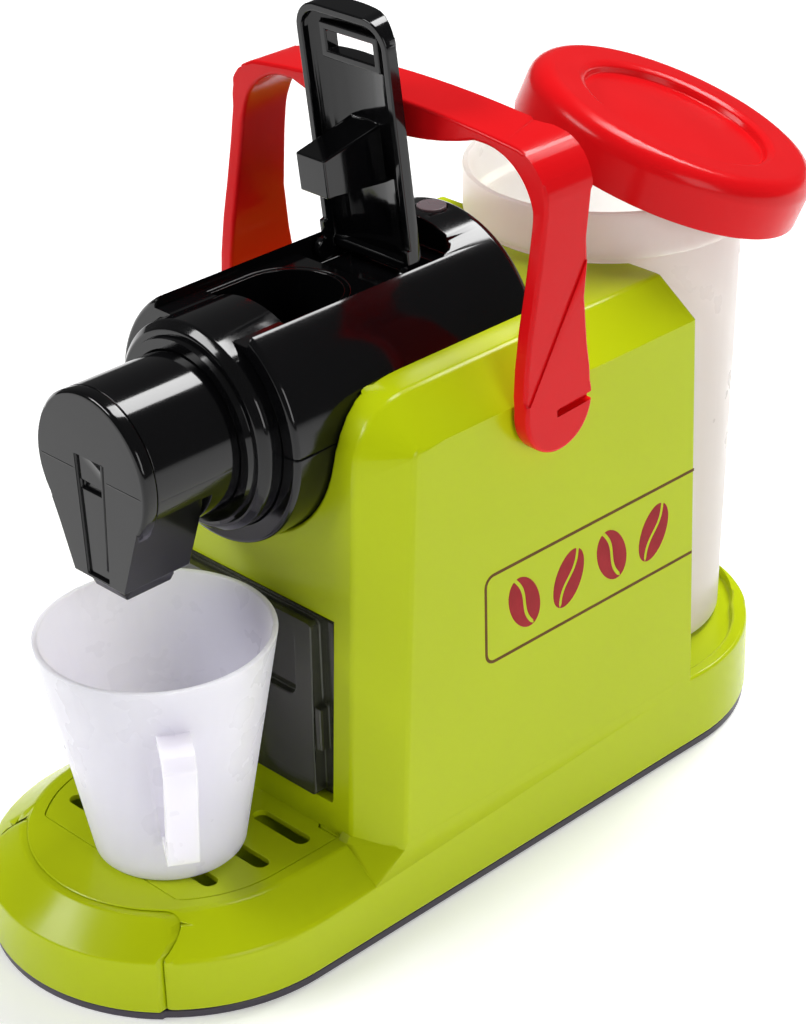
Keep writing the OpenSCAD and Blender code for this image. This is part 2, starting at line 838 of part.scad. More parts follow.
shoulder_z = brew_height - 2;
spout_shut = -nozzle_front + spout_face_depth;
module spout_outline(grow) {
    polygon([[-spout_top_width / 2 - grow, shoulder_z], [-spout_foot_width / 2 - grow, spout_foot - grow],
        [spout_foot_width / 2 + grow, spout_foot - grow], [spout_top_width / 2 + grow, shoulder_z]]);
}

// the mouth under the spout's foot: it tapers on all four sides
mouth_inset = 2;
mouth_taper = 1.6;
mouth_half = spout_foot_width / 2 - mouth_inset;
mouth_middle = -nozzle_front + spout_depth / 2;
mouth_half_depth = spout_depth / 2 - mouth_inset;
module mouth_form() {
    top = spout_foot + over;
    foot = spout_foot - mouth_length;
    narrow = mouth_half - mouth_taper;
    short = mouth_half_depth - mouth_taper;
    intersection() {
        front_slice(-nozzle_front, spout_depth) polygon([[-mouth_half, top], [-mouth_half, spout_foot],
            [-narrow, foot], [narrow, foot], [mouth_half, spout_foot], [mouth_half, top]]);
        translate([0, mouth_middle, 0]) side_slice(2 * mouth_half) polygon([
            [-mouth_half_depth, top], [-mouth_half_depth, spout_foot], [-short, foot],
            [short, foot], [mouth_half_depth, spout_foot], [mouth_half_depth, top]]);
        translate([0, mouth_middle - mouth_half_depth, foot - over])
            linear_extrude(mouth_length + 3 * over)
                rounded_box_2d(2 * mouth_half, 2 * mouth_half_depth, 3.5);
    }
}

module spout_head() {
    r = nozzle_radius;
    front = -nozzle_front;
    back = spout_shut;
    hole_half = mouth_half - mouth_taper - mouth_wall;
    hole_half_depth = mouth_half_depth - mouth_taper - mouth_wall;
    color(black) difference() {
        union() {
            translate([0, 0, brew_height]) turned_y([[0, front], [r - 1.2, front], [r, front + 1.2],
                [r, back - fixed_gap], [0, back - fixed_gap]]);
            front_slice(front, spout_depth) spout_outline(0);
            mouth_form();
        }
        // the chute inside
        intersection() {
            front_slice(back + 0.5, spout_depth - spout_face_depth - mouth_wall - 0.5)
                spout_outline(-mouth_wall);
            translate([-base_width, -nozzle_front, spout_foot])
                cube([2 * base_width, nozzle_front, shoulder_z - spout_foot - 4]);
        }
        translate([-hole_half, mouth_middle - hole_half_depth, spout_foot - mouth_length - over])
            cube([2 * hole_half, 2 * hole_half_depth, mouth_length + mouth_wall + 2 * over]);
        // the recessed channel on the face, with its short slot
        front_slice(front - over, over + 0.8) polygon([[-5.8, brew_height + 3.5], [5.8, brew_height + 3.5],
            [4.3, spout_foot + 1], [-4.3, spout_foot + 1]]);
        front_slice(front - over, over + 2) translate([-4.8, brew_height - 6]) square([9.6, 2]);
        // clear of the nozzle tube's wall
        difference() {
            translate([0, 0, brew_height]) along_y(r + 0.05, back - 0.02, 40);
            translate([0, 0, brew_height]) along_y(r - nozzle_wall - 0.05, back - over, 60);
            translate([-spout_top_width / 2 + 0.1, back - over, 0])
                cube([spout_top_width - 0.2, spout_depth - spout_face_depth + over, brew_height - 4.1]);
        }
    }
}

// ---------- lever ----------

lever_half = lever_width / 2;
lever_rise = lever_crown - lever_edge;
lever_arc = (pow(lever_half, 2) + pow(lever_rise, 2)) / (2 * lever_rise);
trunnion_half = lever_half + 3;

// the arched section of the lever in X and Z, drawn in by an inset
module lever_section(inset) {
    intersection() {
        translate([0, lever_crown - lever_arc]) circle(lever_arc - inset);
        translate([-lever_half + inset, inset > 0 ? -20 : lever_skirt])
            square([lever_width - 2 * inset, 60]);
    }
}

// the outline of the lever from above, drawn in by an inset
module lever_plan(inset, length) {
    r = 8 - inset;
    half = lever_half - inset;
    translate([-half, -length + inset + r]) square([2 * half, length - inset - r]);
    translate([-half + r, -length + inset]) square([2 * half - 2 * r, length - inset]);
    for (sx = [-1, 1]) translate([sx * (half - r), -length + inset + r]) circle(r);
}

// the closed lever lies along -Y from its pivot, so it is drawn lying and then raised
module lever_lying() {
    slot_width = 17;
    slot_length = 5.6;
    slot_start = 56.4;
    difference() {
        union() {
            intersection() {
                front_slice(-lever_length, lever_length) lever_section(0);
                translate([0, 0, -20]) linear_extrude(40) lever_plan(0, lever_length);
            }
            // round cheeks at the foot, with the trunnions
            for (sx = [-1, 1]) {
                along_x(lever_foot_radius, sx > 0 ? lever_half - lever_wall : -lever_half, lever_wall);
                translate([sx > 0 ? lever_half - lever_wall : -lever_half, -cheek_length, 0])
                    cube([lever_wall, cheek_length, lever_edge - 0.5]);
            }
        }
        // hollow between the side walls and under the arched web
        intersection() {
            front_slice(-lever_length, lever_length + 20) lever_section(lever_wall);
            translate([0, 10, -20]) linear_extrude(40) lever_plan(lever_wall, lever_length + 10);
        }
        translate([-slot_width / 2, -slot_start - slot_length, -20]) cube([slot_width, slot_length, 60]);
    }
    for (sx = [-1, 1]) along_x(trunnion_radius, sx > 0 ? lever_half - over : -trunnion_half,
        trunnion_half - lever_half + over);
    // the web between the cheeks closes the foot
    translate([-lever_half + 1, -2.4, lever_edge - 2.2]) cube([lever_width - 2, 2.4, 2.4]);
    pusher();
    finger_rib();
}

// the block that presses the capsule down
module pusher() {
    side_slice(pusher_width) polygon([[-22.5, lever_crown - 1], [-25.8, -pusher_reach],
        [-36.4, -pusher_reach], [-38.4, lever_crown - 1]]);
}

// a low rib round the finger slot
module finger_rib() {
    half = 10.5;
    foot = collar_radius - lever_pivot_rise + 0.45;
    difference() {
        translate([-half, -64.2, foot]) cube([2 * half, 10, 6.4 - foot]);
        translate([-8.5, -62, 0]) cube([17, 5.6, 10]);
    }
}

module lever() color(black) at_pivot() rotate([-90 + lever_lean, 0, 0]) lever_lying();

// ---------- button ----------

button_radius = 4;
button_back = 21.5;
button_travel = 1.5;
button_stem_radius = 2;
button_depth = 8;
button_top = brew_height + brew_radius + 0.3;
module button_space() translate([0, button_back, 0]) {
    translate([0, 0, button_top - button_depth]) cylinder(r = button_radius + 0.25, h = button_depth + 10);
}
module top_button() color([0.3, 0.27, 0.28]) translate([0, button_back, 0]) {
    translate([0, 0, button_top - 2.2]) cylinder(r = button_radius, h = 2.2);
    translate([0, 0, button_top - button_depth + button_travel + 0.3])
        cylinder(r = button_stem_radius, h = button_depth - button_travel - 1);
}

// a coil spring round the button's stem
spring_wire = 0.4;
spring_turns = 4;
spring_steps = 12;
function ring_point(turn, a, r, z0, pitch) = let (t = 360 * turn, out = r + spring_wire * cos(a))
    [out * cos(t), out * sin(t), z0 + pitch * turn + spring_wire * sin(a)];
module button_spring() {
    sides = 6;
    foot = button_top - button_depth + spring_wire + 0.05;
    head = button_top - 2.2 - spring_wire - 0.05;
    pitch = (head - foot) / spring_turns;
    rings = spring_turns * spring_steps;
    points = [for (i = [0:rings], k = [0:sides - 1])
        ring_point(i / spring_steps, 360 * k / sides, 3, foot, pitch)];
    skin = [for (i = [0:rings - 1], k = [0:sides - 1])
        each let (a = i * sides + k, b = i * sides + (k + 1) % sides)
            [[a, b, b + sides], [a, b + sides, a + sides]]];
    caps = [[for (k = [sides - 1:-1:0]) k], [for (k = [0:sides - 1]) rings * sides + k]];
    color(steel) translate([0, button_back, 0]) polyhedron(points, concat(skin, caps), convexity = 6);
}

// ---------- carrying handle ----------

handle_inner_half = half_width + stud_boss_height + 0.25;
handle_outer_half = handle_inner_half + handle_thickness;
handle_front_top = handle_pivot_back - 4.7;
handle_back_top = handle_front_top + handle_width;
module bail_outline() {
    inner_top = handle_height - handle_thickness;
    foot = handle_pivot_height - 4 * handle_end_radius;
    difference() {
        intersection() {
            translate([0, foot])
                rounded_box_2d(2 * handle_outer_half, handle_height - foot, handle_corner);
            translate([0, handle_height - handle_crown]) circle(handle_crown, $fn = 360);
        }
        difference() {
            translate([0, foot - handle_inner_corner])
                rounded_box_2d(2 * handle_inner_half, inner_top - foot + handle_inner_corner,
                    handle_inner_corner);
            grip_outline(inner_top);
        }
    }
}

// the arched grip under the strap in X and Z
module grip_outline(inner_top) {
    half = handle_inner_half - handle_inner_corner - 3;
    arch = (pow(half, 2) + pow(grip_drop, 2)) / (2 * grip_drop);
    intersection() {
        translate([0, inner_top - grip_drop + arch]) circle(arch, $fn = 240);
        translate([-half, inner_top - grip_drop - over]) square([2 * half, grip_drop + 2 * over]);
    }
}

// the strap seen from the side: a round end below, a waist and a lean to the grip
module strap_form() {
    r = handle_end_radius;
    half = handle_outer_half + over;
    b = handle_pivot_back;
    z = handle_pivot_height;
    top = handle_height;
    translate([0, b, z]) along_x(r, -half, 2 * half);
    side_slice(2 * half) polygon([[b - r + 0.3, z - 2], [b - r - 0.1, z + 6], [b - r + 0.4, z + 13],
        [b - r + 1.9, z + 23], [b - r + 4, z + 33], [handle_front_top - 1.6, top - 28],
        [handle_front_top, top - 18], [handle_front_top, top + 1], [handle_back_top, top + 1],
        [handle_back_top - 0.6, top - 16], [handle_back_top - 2.2, top - 28], [b + r - 3, z + 28],
        [b + r - 1.9, z + 15], [b + r - 0.8, z + 8], [b + r - 0.3, z - 2]]);
}

// below a slanting crease the legs are a little thicker
module leg_swells() {
    b = handle_pivot_back;
    z = handle_pivot_height;
    crease = [[b + 9.5, z + 37.5], [b - 11, z + 4], [b - 20, z + 4], [b - 20, z - 20],
        [b + 20, z - 20], [b + 20, z + 37.5]];
    intersection() {
        strap_form();
        for (side = [0, 1]) mirror([side, 0, 0])
            translate([handle_outer_half - over / 2 + leg_swell / 2, 0, 0])
                side_slice(over + leg_swell) polygon(crease);
    }
}

module carry_handle() {
    color(red) difference() {
        union() {
            intersection() {
                front_slice(-base_width, 2 * base_width) bail_outline();
                strap_form();
            }
            leg_swells();
        }
        for (side = [-1, 1]) stud_place(side) {
            along_x(stud_radius + running_gap, handle_inner_half - over, over + stud_in_handle + 0.3);
            // a slanting notch in the round end
            translate([handle_outer_half - 1.6, -1.2, -2.4]) rotate([3, 0, 0])
                cube([2 * over + 1.6, handle_end_radius + 2, 2.3]);
        }
    }
}

stud_in_handle = 3;
module handle_stud(side) color(red) stud_place(side)
    along_x(stud_radius, half_width - stud_depth + seat_gap,
        handle_inner_half + stud_in_handle - half_width + stud_depth - seat_gap);
module handle_stud_right() handle_stud(1);
module handle_stud_left() handle_stud(-1);

// ---------- tank and lid ----------

module water_tank() {
    foot = well_floor + seat_gap;
    w = tank_wall;
    step = tank_rim_height - tank_band_height;
    color(milky) translate([0, tank_back, 0]) rotate_extrude() polygon([
        [0, foot], [tank_foot_radius - 1.5, foot], [tank_foot_radius, foot + 1.5],
        [tank_top_radius, step - 1.2], [tank_rim_radius, step],
        [tank_rim_radius, tank_rim_height], [tank_rim_radius - w, tank_rim_height],
        [tank_rim_radius - w, step + 1], [tank_top_radius - w, step - 0.2],
        [tank_foot_radius - w, foot + w + 1], [tank_foot_radius - w - 1, foot + w], [0, foot + w]]);
}

lid_bore_radius = tank_rim_radius + 0.4;
lid_radius = lid_bore_radius + lid_wall;
lid_under = lid_height - lid_dish_depth - lid_wall;
module lid_form() {
    h = lid_height;
    r = lid_radius;
    b = lid_bore_radius;
    ring = 6;
    outer_ring = [for (a = [0:15:90]) [r - ring + ring * cos(a), h - ring + ring * sin(a)]];
    inner_ring = [for (a = [90:-15:0])
        [b - ring + 1 + (ring - 1) * cos(a), h - lid_wall - ring + 1 + (ring - 1) * sin(a)]];
    rotate_extrude() polygon(concat([[b, 0], [b + lid_wall, 0]], outer_ring,
        [[lid_dish_radius + 3, h], [lid_dish_radius + 0.6, h - 1], [lid_dish_radius, h - lid_dish_depth],
            [12, h - lid_dish_depth + 0.5], [0, h - lid_dish_depth + 0.7],
            [0, lid_under], [lid_dish_radius + 0.6, lid_under], [lid_dish_radius + 1.6, lid_under + 1],
            [lid_dish_radius + 3, h - lid_wall]], inner_ring));
}
lid_lift = (tank_rim_radius - lid_offset) * sin(lid_tilt) - (lid_under - seat_gap);
module tank_lid() {
    color(red) translate([0, tank_back, tank_rim_height]) rotate([0, 0, lid_direction])
        translate([lid_offset, -lid_aside, lid_lift / cos(lid_tilt)])
            rotate([0, lid_tilt, 0]) lid_form();
}

// ---------- cup ----------

module cup() {
    w = cup_wall;
    rf = cup_foot_radius;
    rt = cup_rim_radius;
    h = cup_height;
    taper = (rt - rf) / h;
    color([0.93, 0.92, 0.96]) translate([cup_right, -cup_front, deck_height + seat_gap]) {
        rotate_extrude() polygon([[0, 0], [rf - 1, 0], [rf, 1], [rt, h], [rt - w, h],
            [rf - w + 0.3, w + 1.5], [rf - w - 1.5, w], [0, w]]);
        rotate([0, 0, -cup_handle_angle]) difference() {
            side_handle(rf, taper, h);
            cylinder(r1 = rf - 0.6, r2 = rf - 0.6 + taper * h, h = h);
        }
    }
}
cup_loop_low = 14;
cup_loop_high = 51;
cup_loop_reach = 13;
module side_handle(rf, taper, h) {
    strap = 2.6;
    width = 8.5;
    inner = rf + taper * cup_loop_low - 2;
    outline = [[inner, cup_loop_low], [rf + taper * cup_loop_low + cup_loop_reach - 3, cup_loop_low],
        [rf + taper * cup_loop_high + cup_loop_reach, cup_loop_high - 3],
        [rf + taper * cup_loop_high + cup_loop_reach - 3, cup_loop_high], [inner, cup_loop_high]];
    translate([0, width / 2, 0]) rotate([90, 0, 0]) linear_extrude(width) difference() {
        polygon(outline);
        polygon([[inner - 1, cup_loop_low + strap],
            [rf + taper * cup_loop_low + cup_loop_reach - 3 - strap, cup_loop_low + strap],
            [rf + taper * cup_loop_high + cup_loop_reach - strap, cup_loop_high - 3 - strap],
            [rf + taper * cup_loop_high + cup_loop_reach - 3 - strap, cup_loop_high - strap],
            [inner - 1, cup_loop_high - strap]]);
    }
}

// ---------- the whole ----------

main_housing();
base_shell();
drawer_case();
base_plate();
base_screws();
drip_tray();
drip_grille();
capsule_drawer();
brew_lower_shell();
brew_upper_shell();
shell_screws();
capsule_sleeve();
collar_ring();
nozzle_tube();
spout_head();
lever();
top_button();
button_spring();
carry_handle();
handle_stud_right();
handle_stud_left();
water_tank();
tank_lid();
cup();
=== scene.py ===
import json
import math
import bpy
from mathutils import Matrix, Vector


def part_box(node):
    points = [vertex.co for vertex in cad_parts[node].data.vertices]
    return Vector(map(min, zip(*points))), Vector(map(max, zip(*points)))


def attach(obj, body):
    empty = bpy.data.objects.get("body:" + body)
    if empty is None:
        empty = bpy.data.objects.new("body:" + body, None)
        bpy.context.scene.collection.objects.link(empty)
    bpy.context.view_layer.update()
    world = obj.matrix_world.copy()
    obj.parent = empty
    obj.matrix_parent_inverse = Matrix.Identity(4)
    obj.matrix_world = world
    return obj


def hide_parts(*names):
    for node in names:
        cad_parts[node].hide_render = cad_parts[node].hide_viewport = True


bl_info = {
    "name": "Toy Coffee Maker",
    "version": (1, 0, 0),
    "blender": (4, 5, 0),
    "location": "3D View > Sidebar > Toy",
    "description": "Dresses the packed toy coffee maker: edges, plastics, print, floor, lights",
    "category": "Object",
}

import bmesh
import bpy
from bpy.props import FloatProperty, FloatVectorProperty, IntProperty, PointerProperty
from mathutils import Matrix, Vector
from mathutils.bvhtree import BVHTree
from mathutils.kdtree import KDTree

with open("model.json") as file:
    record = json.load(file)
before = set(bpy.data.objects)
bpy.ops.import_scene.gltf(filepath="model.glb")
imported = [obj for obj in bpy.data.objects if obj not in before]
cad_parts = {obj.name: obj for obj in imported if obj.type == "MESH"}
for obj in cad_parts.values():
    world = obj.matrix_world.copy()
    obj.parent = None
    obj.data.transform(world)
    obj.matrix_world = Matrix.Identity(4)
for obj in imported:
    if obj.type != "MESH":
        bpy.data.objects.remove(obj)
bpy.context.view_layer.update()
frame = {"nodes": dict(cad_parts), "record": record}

MM = 0.001
BODY_OF_NODE = {
    node: body
    for body, nodes in frame["record"]["behaviour"]["bodies"].items()
    for node in nodes
}
SLOT_OF_NODE = {part["node"]: part["material_slot"] for part in frame["record"]["subparts"]}


# ---------- settings ----------


def length(name, description, default):
    """A length in metres, shown in Blender's own unit."""
    return FloatProperty(
        name=name, description=description, default=default, unit="LENGTH", min=0.0
    )


def shade(name, description, default):
    """A surface colour."""
    return FloatVectorProperty(
        name=name,
        description=description,
        default=default,
        subtype="COLOR",
        size=3,
        min=0.0,
        max=1.0,
    )


class ToyShapeSettings(bpy.types.PropertyGroup):
    """Sizes of the softened edges and of the print on the side"""

    shell_edge: length("Housing edge", "Rounding of the housing's moulded edges", 1.1 * MM)
    small_edge: length("Small edge", "Rounding of the small mouldings' edges", 0.5 * MM)
    fine_edge: length("Fine edge", "Rounding of thin rims and slots", 0.25 * MM)
    strap_corner: length(
        "Strap corner", "Rounding of the carrying handle's outer corners", 13.0 * MM
    )
    edge_steps: IntProperty(
        name="Edge steps", description="Facets across a rounded edge", default=3, min=1
    )
    print_line: length("Print line", "Width of the line round the side print", 0.9 * MM)
    print_lift: length("Print lift", "Thickness of the printed ink", 0.06 * MM)


class ToyColourSettings(bpy.types.PropertyGroup):
    """Colours of the plastics"""

    green: shade("Green", "Housing, tray and grille", (0.5, 0.6, 0.004))
    black: shade("Black", "Brew unit and lever", (0.003, 0.003, 0.0035))
    red: shade("Red", "Carrying handle and lid", (0.72, 0.006, 0.009))
    milky: shade("Milky", "Water tank", (0.76, 0.7, 0.63))
    cup: shade("Cup", "Cup", (0.79, 0.76, 0.88))
    smoke: shade("Smoke", "Capsule drawer", (0.11, 0.115, 0.075))
    plate: shade("Plate", "Base plate", (0.062, 0.052, 0.075))
    # The button's own grey, with a pink tint that paints in a reflection of the red handle.
    button: shade("Button", "Button on the brew unit", (0.16, 0.13, 0.14))
    ink: shade("Ink", "Motif printed on the side", (0.3, 0.008, 0.014))
    line: shade("Line", "Line printed round the motif", (0.12, 0.05, 0.003))
    floor: shade("Floor", "Floor under the toy", (0.8, 0.8, 0.8))


# ---------- materials ----------

# The grains are noise scales, so a larger one is finer.
RAMP_START, RAMP_END = 0.3, 0.7
COLOUR_GRAIN, GLOSS_GRAIN, RIPPLE_GRAIN = 18.0, 70.0, 45.0
GLOSS_SPREAD = 0.2
RIPPLE_DEPTH = 2.0 * MM
PLASTIC_IOR = 1.5
SCATTER_COLOUR = (1.0, 0.95, 0.9)
INK_GLOSS, INK_SHINE, INK_GRAIN = 0.35, 0.12, 220.0
INK_THINNING, INK_LIFT = 1.25, 0.004
STEEL_GLOSS, STEEL_GLOSS_GRAIN = (0.22, 0.36), 300.0
STEEL_COLOURS, STEEL_GRAIN = ((0.56, 0.56, 0.58), (0.66, 0.66, 0.67)), 90.0


def node_material(name):
    """An empty node material with a Principled shader: (material, tree, shader)."""
    material = bpy.data.materials.new(name)
    material.use_nodes = True
    tree = material.node_tree
    return material, tree, tree.nodes["Principled BSDF"]


def noise(tree, scale, detail=3.0):
    """A noise texture in the object's own space."""
    place = tree.nodes.new("ShaderNodeTexCoord")
    texture = tree.nodes.new("ShaderNodeTexNoise")
    texture.inputs["Scale"].default_value = scale
    texture.inputs["Detail"].default_value = detail
    tree.links.new(place.outputs["Object"], texture.inputs["Vector"])
    return texture.outputs["Fac"]


def ramp(tree, value, low, high):
    """A ramp between two colours, or between two grey levels."""
    node = tree.nodes.new("ShaderNodeValToRGB")
    for stop, colour in zip(node.color_ramp.elements, (low, high)):
        stop.color = (*colour, 1.0) if hasattr(colour, "__len__") else (colour, colour, colour, 1.0)
    node.color_ramp.elements[0].position = RAMP_START
    node.color_ramp.elements[1].position = RAMP_END
    tree.links.new(value, node.inputs["Fac"])
    return node.outputs["Color"]


def bump(tree, shader, height, strength, distance):
    """A fine unevenness of the surface."""
    node = tree.nodes.new("ShaderNodeBump")
    node.inputs["Strength"].default_value = strength
    node.inputs["Distance"].default_value = distance
    tree.links.new(height, node.inputs["Height"])
    tree.links.new(node.outputs["Normal"], shader.inputs["Normal"])


def moulded_plastic(name, colour, roughness, shine, ripple, spread):
    """Solid plastic with a slightly uneven gloss; shine scales its mirror reflection."""
    material, tree, shader = node_material(name)
    darker = tuple(c * (1.0 - spread) for c in colour)
    body = ramp(tree, noise(tree, COLOUR_GRAIN), darker, tuple(colour))
    tree.links.new(body, shader.inputs["Base Color"])
    smooth, rough = roughness * (1.0 - GLOSS_SPREAD), roughness * (1.0 + GLOSS_SPREAD)
    gloss = ramp(tree, noise(tree, GLOSS_GRAIN), smooth, rough)
    tree.links.new(gloss, shader.inputs["Roughness"])
    bump(tree, shader, noise(tree, RIPPLE_GRAIN, 1.0), ripple, RIPPLE_DEPTH)
    shader.inputs["IOR"].default_value = PLASTIC_IOR
    shader.inputs["Specular IOR Level"].default_value = shine
    return material


def half_clear_plastic(name, colour, roughness, clear, depth, painted_glow):
    """Smoky plastic that light passes through, or milky plastic that light spreads in and that
    glows with painted light in its own colour.
    """
    material = moulded_plastic(name, colour, roughness, shine=0.4, ripple=0.02, spread=0.03)
    shader = material.node_tree.nodes["Principled BSDF"]
    shader.inputs["Transmission Weight"].default_value = clear
    if depth:
        shader.inputs["Subsurface Weight"].default_value = 1.0
        shader.inputs["Subsurface Scale"].default_value = depth
        shader.inputs["Subsurface Radius"].default_value = SCATTER_COLOUR
        # Painted light: the emission makes the plastic glow in its own colour, in place of light
        # shining through its walls into its shaded parts.
        shader.inputs["Emission Color"].default_value = (*colour, 1.0)
        shader.inputs["Emission Strength"].default_value = painted_glow
    return material


def plated_steel(name):
    """Bright plated steel of the screws and the spring."""
    material, tree, shader = node_material(name)
    gloss = ramp(tree, noise(tree, STEEL_GLOSS_GRAIN), *STEEL_GLOSS)
    tree.links.new(gloss, shader.inputs["Roughness"])
    metal = ramp(tree, noise(tree, STEEL_GRAIN), *STEEL_COLOURS)
    tree.links.new(metal, shader.inputs["Base Color"])
    shader.inputs["Metallic"].default_value = 1.0
    return material


def printing_ink(name, colour):
    """A thin layer of ink with a slightly uneven cover."""
    material, tree, shader = node_material(name)
    thin = tuple(min(1.0, c * INK_THINNING + INK_LIFT) for c in colour)
    cover = ramp(tree, noise(tree, INK_GRAIN), tuple(colour), thin)
    tree.links.new(cover, shader.inputs["Base Color"])
    shader.inputs["Roughness"].default_value = INK_GLOSS
    shader.inputs["Specular IOR Level"].default_value = INK_SHINE
    return material


def material_for(slot):
    """The scene's material for a slot of the record, made once under a name of its own."""
    name = "toy_" + slot
    if name in bpy.data.materials:
        return bpy.data.materials[name]
    colours = bpy.context.scene.toy_colours
    if slot == "green_plastic":
        return moulded_plastic(name, colours.green, 0.22, shine=0.2, ripple=0.03, spread=0.03)
    if slot == "black_plastic":
        return moulded_plastic(name, colours.black, 0.1, shine=0.42, ripple=0.05, spread=0.2)
    if slot == "red_plastic":
        return moulded_plastic(name, colours.red, 0.2, shine=0.15, ripple=0.03, spread=0.05)
    if slot == "dark_plastic":
        return moulded_plastic(name, colours.plate, 0.4, shine=0.4, ripple=0.05, spread=0.1)
    # The button's colour holds a painted pink reflection of the red handle.
    if slot == "button_plastic":
        return moulded_plastic(name, colours.button, 0.3, shine=0.4, ripple=0.05, spread=0.1)
    if slot == "smoky_plastic":
        return half_clear_plastic(name, colours.smoke, 0.12, clear=0.7, depth=0.0, painted_glow=0.0)
    # The tank glows with painted light, which lifts its upper part in the lid's shade.
    if slot == "milky_plastic":
        return half_clear_plastic(name, colours.milky, 0.33, clear=0.0, depth=0.03, painted_glow=0.16)
    # The cup glows with painted light, which lifts its shaded inside.
    if slot == "cup_plastic":
        return half_clear_plastic(name, colours.cup, 0.3, clear=0.0, depth=0.01, painted_glow=0.12)
    return plated_steel(name)


# ---------- pieces ----------

# Angles are in radians. ROOM_NEEDED, STRAY_BEYOND, SMALL_FACE and the CLEAR values count in
# widths of the rounding.
SHARP_ABOVE = math.radians(32.0)
FLAT_BELOW = math.radians(0.4)
JOINED_WITHIN = 2e-6
TOUCHING = 0.05 * MM
ROUNDED_ABOVE = math.radians(28.0)
ROUNDING_TRIES = 8
ROOM_NEEDED = 2.05
STRAY_BEYOND = 0.75
SMALL_FACE = 3
LEAST_AREA = 1e-10
LEAST_AGREEMENT = 0.2
CLEAR_OF_STRAYS, CLEAR_STEP = 2.0, 1.5


def finish_piece(piece, slot, body, *nodes):
    """Gives a piece the material of its record slot and the body that it rides on."""
    piece.data.materials.clear()
    piece.data.materials.append(material_for(slot))
    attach(piece, body)
    if nodes:
        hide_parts(*nodes)
    return piece


def mesh_object(name, form):
    """A scene object from a bmesh, which is freed."""
    mesh = bpy.data.meshes.new(name)
    bmesh.ops.recalc_face_normals(form, faces=form.faces)
    form.to_mesh(mesh)
    form.free()
    piece = bpy.data.objects.new(name, mesh)
    bpy.context.scene.collection.objects.link(piece)
    return piece


def smooth_by_angle(piece):
    """Smooth shading, with the sharp edges kept."""
    for face in piece.data.polygons:
        face.use_smooth = True
    piece.data.set_sharp_from_angle(angle=SHARP_ABOVE)


def node_form(node):
    """A CAD node's mesh with joined corners and whole flat faces."""
    form = bmesh.new()
    form.from_mesh(frame["nodes"][node].data)
    bmesh.ops.remove_doubles(form, verts=form.verts, dist=JOINED_WITHIN)
    return with_whole_faces(form)


def with_whole_faces(form):
    """The form with the faces of each flat area joined to one."""
    bmesh.ops.dissolve_limit(
        form, angle_limit=FLAT_BELOW, verts=form.verts, edges=form.edges, delimit=set()
    )
    return form


def room_beside(face, edge):
    """How far a face reaches away from one of its edges."""
    start, end = (corner.co for corner in edge.verts)
    along = (end - start).normalized()
    away = (corner.co - start for corner in face.verts)
    return max((step - along * step.dot(along)).length for step in away)


def points_along(edge, spacing):
    """Points on an edge, not further apart than the spacing."""
    start, end = (corner.co for corner in edge.verts)
    count = max(1, math.ceil((end - start).length / spacing))
    return [start.lerp(end, i / count) for i in range(count + 1)]


def roundable_edges(form, width, neighbours):
    """The sharp edges with room for a rounding, away from the neighbours that they touch."""
    surfaces = [BVHTree.FromBMesh(node_form(node)) for node in neighbours]
    form.edges.ensure_lookup_table()
    found = []
    for edge in form.edges:
        if len(edge.link_faces) != 2 or edge.calc_face_angle(0.0) < ROUNDED_ABOVE:
            continue
        if min(room_beside(face, edge) for face in edge.link_faces) < ROOM_NEEDED * width:
            continue
        middle = (edge.verts[0].co + edge.verts[1].co) / 2
        if any(surface.find_nearest(middle)[3] < TOUCHING for surface in surfaces):
            continue
        found.append(edge.index)
    return found


def stray_points(form, surface, width):
    """Corners that left the old surface and small faces that turned over."""
    stray = []
    for corner in form.verts:
        nearest, _, _, distance = surface.find_nearest(corner.co)
        if distance > STRAY_BEYOND * width:
            stray.append(nearest)
    for face in form.faces:
        if LEAST_AREA < face.calc_area() < (SMALL_FACE * width) ** 2:
            middle = face.calc_center_median()
            if face.normal.dot(surface.find_nearest(middle)[1]) < LEAST_AGREEMENT:
                stray.append(middle)
    return stray


def rounded_form(form, width, steps, neighbours):
    """The form with its edges rounded, apart from those where a rounding would fold over."""
    surface = BVHTree.FromBMesh(form)
    chosen = roundable_edges(form, width, neighbours)
    for attempt in range(ROUNDING_TRIES):
        trial = form.copy()
        trial.edges.ensure_lookup_table()
        bmesh.ops.bevel(
            trial,
            geom=[trial.edges[index] for index in chosen],
            offset=width,
            offset_type="OFFSET",
            segments=steps,
            profile=0.5,
            affect="EDGES",
            clamp_overlap=False,
            material=-1,
            loop_slide=True,
        )
        stray = stray_points(trial, surface, width)
        if not stray or attempt == ROUNDING_TRIES - 1:
            form.free()
            return trial
        trial.free()
        places = KDTree(len(stray))
        for index, place in enumerate(stray):
            places.insert(place, index)
        places.balance()
        reach = (CLEAR_OF_STRAYS + CLEAR_STEP * attempt) * width
        chosen = [
            index
            for index in chosen
            if all(places.find(p)[2] > reach for p in points_along(form.edges[index], reach))
        ]


def moulding(node, name, edge, steps=3, neighbours=(), form=None):
    """A moulding with the node's form and rounded edges, which stands for the node."""
    form = form or node_form(node)
    piece = mesh_object(name, rounded_form(form, edge, steps, neighbours))
    smooth_by_angle(piece)
    weighting = piece.modifiers.new("even_shading", "WEIGHTED_NORMAL")
    weighting.keep_sharp = True
    return finish_piece(piece, SLOT_OF_NODE[node], BODY_OF_NODE[node], node)


def plain_node(node):
    """A CAD node that stays as it is and gets the scene's material."""
    holder = frame["nodes"][node]
    material = material_for(SLOT_OF_NODE[node])
    if holder.data.materials:
        for index in range(len(holder.data.materials)):
            holder.data.materials[index] = material
    else:
        holder.data.materials.append(material)


def shape():
    """The shape settings of the scene."""
    return bpy.context.scene.toy_shape


class ToyPiece:
    """What the operators share"""

    bl_options = {"REGISTER", "UNDO"}


